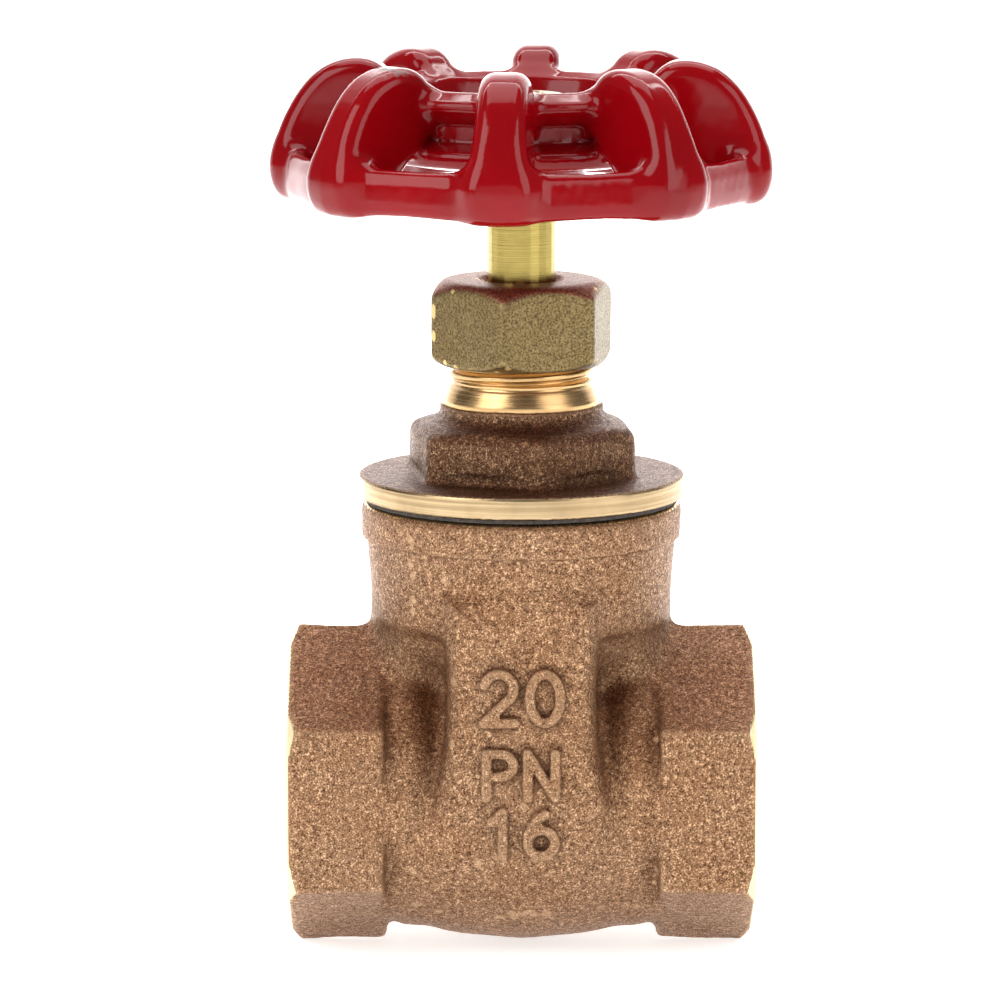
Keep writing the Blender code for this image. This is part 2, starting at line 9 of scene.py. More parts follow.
import bpy
import numpy as np
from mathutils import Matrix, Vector


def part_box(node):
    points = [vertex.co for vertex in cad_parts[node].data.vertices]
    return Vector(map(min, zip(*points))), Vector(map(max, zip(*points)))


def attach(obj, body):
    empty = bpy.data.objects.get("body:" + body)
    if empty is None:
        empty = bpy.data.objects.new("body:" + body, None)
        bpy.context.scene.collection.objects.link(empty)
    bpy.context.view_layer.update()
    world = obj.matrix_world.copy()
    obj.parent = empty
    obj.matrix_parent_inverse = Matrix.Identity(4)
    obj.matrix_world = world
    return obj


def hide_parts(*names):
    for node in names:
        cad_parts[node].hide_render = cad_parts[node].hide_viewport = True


MM = 0.001
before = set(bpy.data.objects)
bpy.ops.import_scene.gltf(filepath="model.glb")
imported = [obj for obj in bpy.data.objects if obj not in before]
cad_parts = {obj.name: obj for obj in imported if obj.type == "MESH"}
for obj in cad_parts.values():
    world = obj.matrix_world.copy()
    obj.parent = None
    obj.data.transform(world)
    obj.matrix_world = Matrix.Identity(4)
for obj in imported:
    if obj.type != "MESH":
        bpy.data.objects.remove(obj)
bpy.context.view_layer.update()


def node_box(node):
    """The lowest and highest corners of a CAD node, in millimetres."""
    low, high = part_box(node)
    return np.array(low) / MM, np.array(high) / MM


BODY_HIGH = node_box("valve_body")[1]
BONNET_LOW, BONNET_HIGH = node_box("bonnet")
NUT_LOW, NUT_HIGH = node_box("packing_nut")
GASKET_HIGH = node_box("bonnet_gasket")[1]
WHEEL_LOW, WHEEL_HIGH = node_box("handwheel")
WHEEL_NUT_LOW, WHEEL_NUT_HIGH = node_box("wheel_nut")
WASHER_LOW, WASHER_HIGH = node_box("wheel_washer")
STEM_HIGH = node_box("stem")[1]

# Driving dimensions, in millimetres.
END = BODY_HIGH[0]                 # the end faces stand this far from the stem axis
HEX_APOTHEM = 16.0
HEX_CORNER = HEX_APOTHEM * 2 / math.sqrt(3)
HEX_INNER = END - 11.0
NECK_TOP = BODY_HIGH[2]
NECK_RADIUS = BODY_HIGH[1]
NECK_FOOT = 20.9
PANEL_DEPTH = 17.5                 # the flat pocket face, from the stem axis
PORT_RADIUS = 9.2
THREAD_MOUTH = 13.1                # root of the pipe thread at the end face
THREAD_TAPER = 1 / 32
PIPE_PITCH = 25.4 / 14
PIPE_THREAD_LENGTH = 13.0
FLANGE_BOTTOM = GASKET_HIGH[2] + 0.15
FLANGE_TOP = FLANGE_BOTTOM + 2.5
FLANGE_RADIUS = BONNET_HIGH[1]
CONE_FOOT = 44.2                   # where the turned cone of the bonnet starts
STUFFING_RADIUS = 5.9
NECK_THREAD_RADIUS = 8.2
NECK_THREAD_PITCH = 1.34
NUT_CEILING = 56.5                 # the roof of the packing nut's hollow
WHEEL_LOBES = 8
WHEEL_TURN = math.radians(-95.7)
WHEEL_RADIUS = 28.5
FLOOR_Z = -HEX_CORNER
CAMERA_AIM = (-2.44, 0.0, 32.9)
CAMERA_PLACE = (-2.44, -620.0, 137.0)
CAMERA_LENS = 198.3
PAPER_GLOW = 0.62                  # keeps the backdrop white under a low light

TUBE_RADIUS = 14.3
ROLL_PLACE, ROLL_RADIUS, ROLL_SECTION = 13.1, 12.9, 3.1    # the rounded rib beside each hexagon
BELLY_RADIUS = 17.8
BELLY_CURVE = 88.0
PANEL_HALF_WIDTH = 8.4
FLARE_REACH, FLARE_TOP, FLARE_LENGTH = 7.1, 10.0, 22.0     # the panel widens downwards
NECK_FOOT_RADIUS = 17.35
NECK_STEP = 0.4                    # the neck stands back this far below its band
NECK_BAND_FOOT = 29.1
WEB_RADIUS = 16.2
SPIGOT_RADIUS = 15.6
WHEEL_CHORD = 26.3                 # the straight rim between two fins, from the axis
WHEEL_CORNER = 28.1
RIM_LIFT, RIM_HEIGHT = 0.7, 6.6    # above the lowest point of the CAD wheel
CHIP_PLACE = (-0.0151, -0.0123, 0.0825)

# Mesh steps, in millimetres.
GRID_BODY = 0.34
GRID_BONNET = 0.3
GRID_WHEEL = 0.33
GRID_SMALL = 0.2
GRID_FIXINGS = 0.15


# ---------------------------------------------------------------- distance fields, in millimetres

def smooth_union(a, b, k):
    """The union of two fields with a fillet of about k."""
    h = np.clip(0.5 + 0.5 * (b - a) / k, 0.0, 1.0)
    return b + (a - b) * h - k * h * (1.0 - h)


def smooth_cut(a, b, k):
    """What both fields share, the corner between them rounded by about k."""
    return -smooth_union(-a, -b, k)


def slab_field(value, low, high):
    """The room between two parallel planes."""
    return np.maximum(low - value, value - high)


def hexagon_field(u, v, apothem, turn=0.0, soft=0.5):
    """A hexagonal bar, a corner towards turn from the u axis, its ridges rounded by soft."""
    result = None
    for k in range(3):
        angle = turn + math.radians(30 + 60 * k)
        side = np.abs(u * math.cos(angle) + v * math.sin(angle)) - apothem
        result = side if result is None else smooth_cut(result, side, soft)
    return result


def polygon_field(u, v, corners):
    """The signed distance to a polygon in the plane."""
    squared = np.full(u.shape, 1e9, dtype=np.float32)
    inside = np.zeros(u.shape, dtype=bool)
    previous = corners[-1]
    for corner in corners:
        ex, ey = previous[0] - corner[0], previous[1] - corner[1]
        wx, wy = u - corner[0], v - corner[1]
        along = np.clip((wx * ex + wy * ey) / (ex * ex + ey * ey), 0.0, 1.0)
        squared = np.minimum(squared, (wx - ex * along) ** 2 + (wy - ey * along) ** 2)
        crosses = (corner[1] > v) != (previous[1] > v)
        if abs(ey) > 1e-9:
            crosses &= u < ex * (v - corner[1]) / ey + corner[0]
            inside ^= crosses
        previous = corner
    return np.where(inside, -1.0, 1.0) * np.sqrt(squared)


def unevenness(x, y, z, amplitude, seed=0.0):
    """Slow waves that keep a cast surface from being perfectly flat."""
    waves = np.sin(0.83 * x + 1.7 * np.sin(0.41 * y + seed) + seed)
    waves = waves + np.sin(0.97 * y + 1.3 * np.sin(0.53 * z - seed) + 2.1)
    waves = waves + np.sin(0.71 * z + 1.9 * np.sin(0.37 * x + seed) + 4.2)
    waves = waves + 0.6 * np.sin(2.3 * x + 1.9 * y) * np.sin(2.1 * z - 1.3 * x + seed)
    return amplitude * waves / 3.0


# ---------------------------------------------------------------- from a field to a mesh

CORNERS = [(i, j, k) for i in (0, 1) for j in (0, 1) for k in (0, 1)]


def surface_nets(field, low, high, step):
    """Vertices and quads of the field's zero surface, one vertex in each cell that it passes through."""
    axes = [np.arange(a - 2 * step, b + 3 * step, step, dtype=np.float32) for a, b in zip(low, high)]
    values = field(*np.meshgrid(*axes, indexing="ij"))
    inside = values < 0
    cells = tuple(n - 1 for n in values.shape)

    def corner_values(array, corner):
        return array[tuple(slice(c, c + n) for c, n in zip(corner, cells))]

    count = sum(corner_values(inside, c).astype(np.int8) for c in CORNERS)
    active = (count > 0) & (count < 8)
    number = np.full(cells, -1, dtype=np.int64)
    number[active] = np.arange(int(active.sum()))
    total = np.zeros((int(active.sum()), 3))
    hits = np.zeros(int(active.sum()))
    for a in CORNERS:
        for axis in range(3):
            if a[axis]:
                continue
            b = tuple(1 if i == axis else c for i, c in enumerate(a))
            va, vb = corner_values(values, a)[active], corner_values(values, b)[active]
            crossed = (va < 0) != (vb < 0)
            share = np.where(crossed, va / np.where(crossed, va - vb, 1.0), 0.0)
            point = np.array(a, dtype=float)[None, :] + np.zeros((len(va), 3))
            point[:, axis] += share
            total += point * crossed[:, None]
            hits += crossed
    origin = np.array([axis[0] for axis in axes])
    verts = origin + (np.argwhere(active) + total / hits[:, None]) * step
    return verts, net_faces(inside, number)


def net_faces(inside, number):
    """One quad around each grid edge that crosses the surface, facing out."""
    faces = []
    for axis in range(3):
        u, v = (axis + 1) % 3, (axis + 2) % 3
        here = [slice(None)] * 3
        there = [slice(None)] * 3
        here[axis], there[axis] = slice(None, -1), slice(1, None)
        first, second = inside[tuple(here)], inside[tuple(there)]
        for entering in (False, True):
            spots = np.argwhere((first != second) & (first == entering))
            spots = spots[(spots[:, u] > 0) & (spots[:, v] > 0)]
            quad = []
            for du, dv in ((1, 1), (0, 1), (0, 0), (1, 0)):
                cell = spots.copy()
                cell[:, u] -= du
                cell[:, v] -= dv
                quad.append(number[cell[:, 0], cell[:, 1], cell[:, 2]])
            quad = np.stack(quad, axis=1)
            faces.append(quad if entering else quad[:, ::-1])
    return np.concatenate(faces)


def settle(field, verts, rounds=2, most=0.3):
    """Moves the vertices onto the surface along the field's slope."""
    reach = 0.02
    for _ in range(rounds):
        x, y, z = verts.T
        value = field(x, y, z)
        slope = np.stack([
            field(x + reach, y, z) - field(x - reach, y, z),
            field(x, y + reach, z) - field(x, y - reach, z),
            field(x, y, z + reach) - field(x, y, z - reach),
        ], axis=1) / (2 * reach)
        size = np.maximum((slope ** 2).sum(axis=1), 0.2)
        move = -slope * (value / size)[:, None]
        length = np.sqrt((move ** 2).sum(axis=1))
        move *= np.minimum(1.0, most / np.maximum(length, 1e-6))[:, None]
        verts = verts + move
    return verts


def mesh_piece(name, verts, faces, materials, body, replaces=()):
    """A new piece of the valve from millimetre vertices, riding on its body."""
    faces = np.asarray(faces)
    corner = [verts[faces[:, k]] for k in range(3)]
    if np.einsum("ij,ij->i", corner[0], np.cross(corner[1], corner[2])).sum() < 0:
        faces = faces[:, ::-1]
    mesh = bpy.data.meshes.new(name)
    mesh.vertices.add(len(verts))
    mesh.vertices.foreach_set("co", (np.asarray(verts, dtype=np.float32) * MM).ravel())
    mesh.loops.add(faces.size)
    mesh.loops.foreach_set("vertex_index", np.ascontiguousarray(faces, dtype=np.int32).ravel())
    mesh.polygons.add(len(faces))
    starts = np.arange(len(faces), dtype=np.int32) * faces.shape[1]
    mesh.polygons.foreach_set("loop_start", starts)
    mesh.polygons.foreach_set("use_smooth", np.full(len(faces), True))
    mesh.update(calc_edges=True)
    mesh.validate()
    for material in materials:
        mesh.materials.append(material)
    obj = bpy.data.objects.new(name, mesh)
    bpy.context.scene.collection.objects.link(obj)
    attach(obj, body)
    if replaces:
        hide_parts(*replaces)
    return obj


def field_piece(name, field, low, high, step, materials, body, replaces=(), choose=None):
    """A piece whose surface is the zero of a field. choose gives each face its material number."""
    verts, faces = surface_nets(field, low, high, step)
    verts = settle(field, verts)
    obj = mesh_piece(name, verts, faces, materials, body, replaces)
    if choose:
        centres = verts[faces].mean(axis=1)
        edge_a = verts[faces[:, 2]] - verts[faces[:, 0]]
        edge_b = verts[faces[:, 3]] - verts[faces[:, 1]]
        normals = np.cross(edge_a, edge_b)
        normals /= np.maximum(np.linalg.norm(normals, axis=1), 1e-9)[:, None]
        numbers = choose(centres, normals).astype(np.int32)
        obj.data.polygons.foreach_set("material_index", numbers)
        obj.data.update()
    return obj


def swept_piece(name, radius, heights, materials, body, steps=144, along_x=None):
    """A closed surface of revolution whose radius may change with the angle, as on a thread.

    radius(angles, index) gives the radii of row index. The last row joins the first."""
    angles = np.arange(steps) * 2 * math.pi / steps
    rows = []
    for index, height in enumerate(heights):
        r = radius(angles, index) * np.ones(steps)
        rows.append(np.stack([r * np.cos(angles), r * np.sin(angles), np.full(steps, height)], axis=1))
    verts = np.concatenate(rows)
    faces = []
    ring = np.arange(steps)
    following = (ring + 1) % steps
    for index in range(len(rows)):
        a, b = index * steps, ((index + 1) % len(rows)) * steps
        faces.append(np.stack([a + ring, b + ring, b + following, a + following], axis=1))
    faces = np.concatenate(faces)
    if along_x:
        verts = np.stack([along_x * verts[:, 2], verts[:, 1] * along_x, verts[:, 0] * -1.0], axis=1)
    return mesh_piece(name, verts, faces, materials, body)


# ---------------------------------------------------------------- the valve body

def arc(cx, cz, rx, rz, start, stop, parts=9):
    """Points along part of an ellipse, from start to stop in degrees."""
    turns = [math.radians(start + (stop - start) * i / parts) for i in range(parts + 1)]
    return [(cx + rx * math.cos(turn), cz + rz * math.sin(turn)) for turn in turns]


def glyph(letter):
    """The strokes of a plain raised letter in a box one high and 0.62 wide."""
    shapes = {
        "0": [arc(0.31, 0.5, 0.31, 0.5, 0, 360, 16)],
        "1": [[(0.12, 0.78), (0.36, 1.0), (0.36, 0.0)]],
        "2": [arc(0.31, 0.70, 0.30, 0.30, 165, -40) + [(0.0, 0.0), (0.62, 0.0)]],
        "6": [arc(0.31, 0.30, 0.31, 0.30, 0, 360, 12), arc(0.62, 0.30, 0.62, 0.70, 180, 112, 6)],
        "N": [[(0.0, 0.0), (0.0, 1.0), (0.62, 0.0), (0.62, 1.0)]],
        "P": [[(0.0, 0.0), (0.0, 1.0)],
              [(0.0, 1.0)] + arc(0.30, 0.74, 0.30, 0.26, 90, -90, 8) + [(0.0, 0.48)]],
    }
    return shapes[letter]


def word_strokes(word, left, foot, height):
    """The straight strokes of a word, as millimetre pairs of points on the panel."""
    strokes = []
    for index, letter in enumerate(word):
        for line in glyph(letter):
            points = [(left + (index * 0.92 + px) * height, foot + pz * height) for px, pz in line]
            strokes.extend(zip(points, points[1:]))
    return strokes


PANEL_TEXT = (
    word_strokes("20", -4.3, 10.6, 5.6)
    + word_strokes("PN", -3.95, 2.1, 5.0)
    + word_strokes("16", -3.95, -4.6, 5.0)
)


def lettering_field(x, y, z):
    """Raised size marks on the flat pocket face, soft as cast letters are."""
    distance = np.full(x.shape, 1e3, dtype=np.float32)
    for (ax, az), (bx, bz) in PANEL_TEXT:
        ex, ez = bx - ax, bz - az
        along = np.clip(((x - ax) * ex + (z - az) * ez) / (ex * ex + ez * ez), 0.0, 1.0)
        distance = np.minimum(distance, (x - ax - ex * along) ** 2 + (z - az - ez * along) ** 2)
    return smooth_cut(np.sqrt(distance) - 0.58, slab_field(y, -PANEL_DEPTH - 0.6, -PANEL_DEPTH + 1.0), 0.3)


def body_outer_field(x, y, z):
    """The outside of the body casting."""
    ax = np.abs(x)
    around = np.sqrt(y * y + z * z)
    upright = np.sqrt(x * x + y * y)

    draft = (ax - HEX_INNER) * 0.02
    hexagon = hexagon_field(z, y, HEX_APOTHEM - 0.1 + draft, 0.0, 0.3)
    ends = smooth_cut(hexagon, slab_field(ax, HEX_INNER, END), 0.9)
    ends = np.maximum(ends, (around - (HEX_CORNER - 1.9)) * 0.5 + (ax - END) * 0.866)

    tube = smooth_cut(around - TUBE_RADIUS, ax - (HEX_INNER + 2.0), 0.5)
    roll = np.sqrt((ax - ROLL_PLACE) ** 2 + (around - ROLL_RADIUS) ** 2) - ROLL_SECTION
    tube = smooth_union(tube, roll, 1.6)

    barrel = around - (BELLY_RADIUS - x * x / BELLY_CURVE)
    upper = slab_field(z, 0.0, 24.5)
    side = smooth_union(barrel, np.maximum(np.abs(y) - PANEL_DEPTH, upper), 1.5)
    side = smooth_cut(side, np.abs(y) - PANEL_DEPTH, 0.8)
    flare = PANEL_HALF_WIDTH + FLARE_REACH * np.clip((FLARE_TOP - z) / FLARE_LENGTH, 0.0, 1.0) ** 1.6
    front = np.maximum(ax - flare, z - 24.0)
    pocket = smooth_cut(front, side, 3.0)

    slant = (NECK_RADIUS - NECK_FOOT_RADIUS) / (NECK_TOP - NECK_FOOT)
    cone = upright - (NECK_FOOT_RADIUS - NECK_STEP + (z - NECK_FOOT) * slant)
    band = upright - (NECK_RADIUS - (NECK_TOP - z) * slant * 0.4)
    cone = np.where(z > NECK_BAND_FOOT, np.minimum(cone, band), cone)
    neck = smooth_cut(cone, slab_field(z, NECK_FOOT - 1.2, NECK_TOP), 1.3)
    web = smooth_cut(slab_field(z, 8.0, 24.0), upright - WEB_RADIUS, 1.5)
    web = smooth_cut(web, np.abs(y) - (12.5 + (z - 20.0) * 0.8), 3.0)

    solid = smooth_union(tube, pocket, 1.8)
    solid = smooth_union(solid, ends, 1.5)
    solid = smooth_union(solid, web, 3.0)
    solid = smooth_union(solid, neck, 1.6)
    cast = unevenness(x, y, z, 0.09) * np.clip((END - 0.6 - ax) / 1.5, 0.0, 1.0)
    solid = solid + cast * np.clip((NECK_TOP - 0.6 - z) / 1.0, 0.0, 1.0)
    raised = np.where((y < -14.0) & (ax < 9.0), lettering_field(x, y, z), 5.0)
    return smooth_union(solid, raised, 0.5)


def body_hollow_field(x, y, z):
    """Everything inside the body that is not metal: ports, gate room, guide grooves and neck bore."""
    ax = np.abs(x)
    around = np.sqrt(y * y + z * z)
    upright = np.sqrt(x * x + y * y)
    port = around - PORT_RADIUS
    thread_root = THREAD_MOUTH + 0.12 - (END - ax) * THREAD_TAPER
    socket = np.maximum(around - thread_root, END - PIPE_THREAD_LENGTH - ax)
    cone = around - (PORT_RADIUS + (ax - (END - PIPE_THREAD_LENGTH - 2.4)) * 1.2)
    socket = np.minimum(socket, np.maximum(cone, ax - END + PIPE_THREAD_LENGTH - 0.05))
    mouth = around - (THREAD_MOUTH + 1.25 + (ax - END) * 1.1)
    gate_outline = np.minimum(around - 13.2, np.maximum(np.abs(y) - 13.2, -z))
    taper = math.tan(math.radians(3.0))
    gate = np.maximum(np.maximum(ax - (5.72 + z * taper), gate_outline), z - 27.0)
    seat = np.maximum(around - 11.7, 5.15 + z * taper - ax)
    gate = np.maximum(gate, -seat)
    gate = np.minimum(gate, np.maximum(np.maximum(ax - 1.8, np.abs(y) - 14.2), slab_field(z, -7.6, 27.0)))
    gate = np.minimum(gate, np.maximum(np.maximum(ax - 5.15 - z * taper, gate_outline), z - 27.0))
    neck = np.maximum(upright - 14.5, 20.5 - z)
    neck = np.minimum(neck, np.maximum(upright - 15.9, 26.0 - z))
    hollow = np.minimum(np.minimum(port, socket), np.maximum(mouth, END - 3.0 - ax))
    return np.minimum(np.minimum(hollow, gate), neck)


def body_field(x, y, z):
    """The metal of the valve body."""
    return np.maximum(body_outer_field(x, y, z), -body_hollow_field(x, y, z))


def body_finish(centres, normals):
    """Machined where a tool has cut the casting: end faces, chamfers, bores and the top."""
    x, y, z = np.abs(centres[:, 0]), centres[:, 1], centres[:, 2]
    around = np.sqrt(y * y + z * z)
    chamfer = (x > END - 1.9) & (np.abs(normals[:, 0]) > 0.7) & (around > 12.0)
    bored = (around < 14.3) & (x > HEX_INNER - 4.0)
    top = (z > NECK_TOP - 0.35) & (normals[:, 2] > 0.8)
    return np.where(chamfer | bored | top | (x > END - 0.15), 1, 0)


def make_body(mats):
    """The body casting and the two pipe threads that are cut in its ends."""
    low = (-END, -NECK_RADIUS - 0.3, -HEX_CORNER - 0.3)
    high = (END, NECK_RADIUS + 0.3, NECK_TOP)
    field_piece("valve_body_casting", body_field, low, high, GRID_BODY, [mats["cast"], mats["machined"]],
                "valve_shell", ("valve_body",), body_finish)
    for name, side in (("left", -1.0), ("right", 1.0)):
        make_pipe_thread(f"pipe_thread_{name}", side, mats)


def make_pipe_thread(name, side, mats):
    """The tapered female pipe thread of one end, as a thin threaded sleeve set in the casting."""
    count = 150
    depths = np.linspace(0.9, PIPE_THREAD_LENGTH - 0.3, count)
    inner_heights = END - depths
    outer = THREAD_MOUTH + 0.5

    def radius(angles, index):
        if index >= count:
            return outer - THREAD_TAPER * (END - heights[index])
        depth = depths[index]
        phase = (depth / PIPE_PITCH + angles / (2 * math.pi)) % 1.0
        wave = np.abs(phase - 0.5) * 2.0
        ridge = np.clip((wave - 0.08) / 0.84, 0.0, 1.0) * 1.15
        fade = min(1.0, (depth - 0.9) / 1.2)
        return THREAD_MOUTH + 0.05 - depth * THREAD_TAPER - ridge * (0.15 + 0.85 * fade)

    heights = list(inner_heights) + [END - PIPE_THREAD_LENGTH + 0.3, END - 0.9]
    swept_piece(name, radius, heights, [mats["thread"]], "valve_shell", along_x=side)


# ---------------------------------------------------------------- bonnet and packing nut

BONNET_ROOM = [(0.0, 20.0), (13.2, 20.0), (13.2, 34.2), (7.2, 35.8), (7.2, 38.3), (0.0, 38.3)]


def bonnet_field(x, y, z):
    """The bonnet casting up to the foot of its turned cone, with the hidden spigot."""
    upright = np.sqrt(x * x + y * y)
    flange = np.maximum(upright - FLANGE_RADIUS, slab_field(z, FLANGE_BOTTOM, FLANGE_TOP))
    flange = smooth_cut(flange, z - FLANGE_TOP, 0.3)
    hexagon = hexagon_field(x, y, 12.0, math.radians(39.6), 1.1)
    dome = z - (42.5 - np.maximum(upright - 8.5, 0.0) ** 2 * 0.045)
    wrench = smooth_cut(smooth_cut(hexagon, dome, 1.1), FLANGE_TOP - 1.5 - z, 0.4)
    cone = upright - (9.35 + np.minimum(np.maximum(43.4 - z, 0.0) ** 2 * 0.42, 2.8))
    cone = np.maximum(cone, slab_field(z, 38.0, CONE_FOOT))
    spigot = np.maximum(upright - SPIGOT_RADIUS, slab_field(z, BONNET_LOW[2], FLANGE_TOP - 0.5))
    solid = smooth_union(wrench, cone, 1.2)
    solid = solid + unevenness(x, y, z, 0.08, 1.3)
    solid = smooth_union(flange, solid, 1.0)
    solid = np.minimum(solid, spigot)
    hollow = np.maximum(upright - STUFFING_RADIUS, 42.2 - z)
    hollow = np.minimum(hollow, upright - 4.2)
    room = polygon_field(upright, z, BONNET_ROOM)
    return np.maximum(solid, -np.minimum(hollow, room))


def bonnet_finish(centres, normals):
    """Machined on the flange's rim, its underside and everything below."""
    upright = np.sqrt(centres[:, 0] ** 2 + centres[:, 1] ** 2)
    rim = (upright > FLANGE_RADIUS - 0.25) & (normals[:, 2] < 0.72)
    below = centres[:, 2] < FLANGE_BOTTOM + 0.1
    return np.where(rim | below | (upright < 6.2), 1, 0)


def make_bonnet(mats):
    """The cast bonnet and its turned and threaded stuffing box."""
    low = (-FLANGE_RADIUS, -FLANGE_RADIUS, BONNET_LOW[2])
    high = (FLANGE_RADIUS, FLANGE_RADIUS, CONE_FOOT)
    field_piece("bonnet_casting", bonnet_field, low, high, GRID_BONNET, [mats["cast_dark_and_shaded"], mats["rim"]],
                "valve_shell", ("bonnet",), bonnet_finish)
    make_bonnet_neck(mats)


def make_bonnet_neck(mats):
    """The turned cone and the outside thread that the packing nut runs on."""
    thread_start, top = 46.9, BONNET_HIGH[2]
    cone = [CONE_FOOT - 0.05, CONE_FOOT + 0.05, 45.0, 45.5, 46.0, 46.4, 46.7]
    cone_radius = [8.95, 9.12, 8.72, 8.5, 8.3, 8.12, 7.7]
    threaded = list(np.arange(thread_start, top, NECK_THREAD_PITCH / 12))
    heights = cone + threaded + [top, top, CONE_FOOT - 0.05]
    fixed = dict(enumerate(cone_radius))
    fixed[len(heights) - 3] = NECK_THREAD_RADIUS - 0.8
    fixed[len(heights) - 2] = STUFFING_RADIUS
    fixed[len(heights) - 1] = STUFFING_RADIUS

    def radius(angles, index):
        if index in fixed:
            return fixed[index]
        height = heights[index]
        phase = (height / NECK_THREAD_PITCH - angles / (2 * math.pi)) % 1.0
        groove = np.clip(1.0 - np.abs(phase - 0.5) / 0.34, 0.0, 1.0)
        fade = min(1.0, (height - thread_start) / 0.5 + 0.35)
        return NECK_THREAD_RADIUS - 0.72 * groove * fade

    swept_piece("bonnet_thread", radius, heights, [mats["turned"]], "valve_shell",
                steps=180)


def packing_nut_field(x, y, z):
    """The packing nut: hexagon with rounded chamfers, open below for the stuffing box."""
    upright = np.sqrt(x * x + y * y)
    bottom, top = NUT_LOW[2], NUT_HIGH[2]
    hexagon = hexagon_field(x, y, 9.42, math.radians(18.5), 0.5)
    upper = (z - top) * 0.80 + (upright - 8.9) * 0.60
    lower = (bottom - z) * 0.80 + (upright - 9.35) * 0.60
    solid = smooth_cut(hexagon, slab_field(z, bottom, top), 0.5)
    solid = smooth_cut(smooth_cut(solid, upper, 0.6), lower, 0.4)
    hollow = np.minimum(upright - 4.4, np.maximum(upright - 8.5, z - NUT_CEILING))
    lip = upright - (4.4 + np.maximum(z - top + 0.6, 0.0))
    return np.maximum(solid + unevenness(x, y, z, 0.02, 0.4), -np.minimum(hollow, lip))


def nut_finish(centres, normals):
    """The chamfered top keeps the dark forging skin; the flats are blasted."""
    upright = np.sqrt(centres[:, 0] ** 2 + centres[:, 1] ** 2)
    inside = (upright < 8.7) & (centres[:, 2] < NUT_CEILING + 0.1)
    return np.where(inside, 2, np.where(normals[:, 2] > 0.35, 1, 0))


def make_packing_nut(mats):
    """The packing nut."""
    low = (NUT_LOW[0] - 0.3, NUT_LOW[1] - 0.3, NUT_LOW[2])
    high = (NUT_HIGH[0] + 0.3, NUT_HIGH[1] + 0.3, NUT_HIGH[2])
    field_piece("packing_nut_forging", packing_nut_field, low, high, GRID_SMALL,
                [mats["nut"], mats["nut_top"], mats["turned"]], "valve_shell",
                ("packing_nut",), nut_finish)


# ---------------------------------------------------------------- handwheel, stem and fixings

FIN_OUTLINE = [
    (24.6, 70.0), (26.6, 70.0), (26.6, 72.0), (25.6, 75.4), (23.9, 78.6), (21.9, 80.7), (20.0, 81.5),
    (18.2, 81.7), (16.9, 81.3), (16.0, 80.2), (15.3, 79.0), (15.0, 77.6), (17.5, 75.9), (20.5, 73.2),
]
FIN_ROUND = 1.75


def softened(outline, rounds):
    """Cuts the corners of a closed outline, so that it runs in a curve."""
    for _ in range(rounds):
        following = outline[1:] + outline[:1]
        outline = [
            (a[0] + (b[0] - a[0]) * share, a[1] + (b[1] - a[1]) * share)
            for a, b in zip(outline, following) for share in (0.25, 0.75)
        ]
    return outline


FIN_CURVE = softened(FIN_OUTLINE, 2)
CUP_OUTLINE = [
    (0.0, 69.9), (6.2, 69.9), (6.6, 71.6), (12.6, 72.4), (16.2, 73.0), (16.4, 73.6), (13.9, 74.6),
    (13.9, 77.4), (16.0, 79.2), (14.6, 80.0), (13.4, 79.5), (11.6, 75.6), (9.4, 73.4), (0.0, 73.4),
]
CUP_ROUND = 0.7


def wheel_field(x, y, z):
    """The cast handwheel: lobed band, arched fins, inner ring, cup and hub."""
    upright = np.sqrt(x * x + y * y)
    angle = np.arctan2(y, x) - WHEEL_TURN
    sector = 2 * math.pi / WHEEL_LOBES
    chord = upright * np.cos(angle % sector - sector / 2) - WHEEL_CHORD
    edge_distance = smooth_cut(chord, upright - WHEEL_CORNER, 0.8)
    bottom, band_top = WHEEL_LOW[2] + RIM_LIFT, WHEEL_LOW[2] + RIM_HEIGHT
    lean = (z - bottom) * 0.05
    band = smooth_cut(edge_distance + lean, 24.1 - upright, 1.6)
    band = smooth_cut(band, slab_field(z, bottom, band_top), 2.2)

    folded = (angle + sector / 2) % sector - sector / 2
    along, across = upright * np.cos(folded), upright * np.sin(folded)
    flat = polygon_field(along, z, FIN_CURVE)
    half = 2.8 + 1.0 * np.clip((78.5 - z) / 7.0, 0.0, 1.0) ** 1.5 - FIN_ROUND
    sideways = np.abs(across) - half
    outside = np.sqrt(np.maximum(flat, 0.0) ** 2 + np.maximum(sideways, 0.0) ** 2)
    fin = outside + np.minimum(np.maximum(flat, sideways), 0.0) - FIN_ROUND

    cup = polygon_field(upright, z, CUP_OUTLINE) - CUP_ROUND
    hub = smooth_cut(upright - 7.0, slab_field(z, STEM_HIGH[2] - 12.85, 75.0), 0.8)
    solid = smooth_union(band, fin, 2.0)
    solid = smooth_union(solid, cup, 1.6)
    solid = smooth_union(solid, hub, 1.0) + unevenness(x, y, z, 0.03, 2.2)
    hole = np.maximum(np.maximum(np.abs(x), np.abs(y)) - 2.85, z - 80.0)
    seat = np.maximum(upright - 8.0, 74.05 - z)
    return np.maximum(solid, -np.minimum(hole, seat))


def make_handwheel(mats):
    """The red enamelled handwheel."""
    reach = WHEEL_RADIUS + 0.2
    field_piece("handwheel_casting", wheel_field, (-reach, -reach, WHEEL_LOW[2] - 1.4),
                (reach, reach, WHEEL_HIGH[2] + 0.4), GRID_WHEEL, [mats["enamel"]], "wheel_and_stem",
                ("handwheel",))


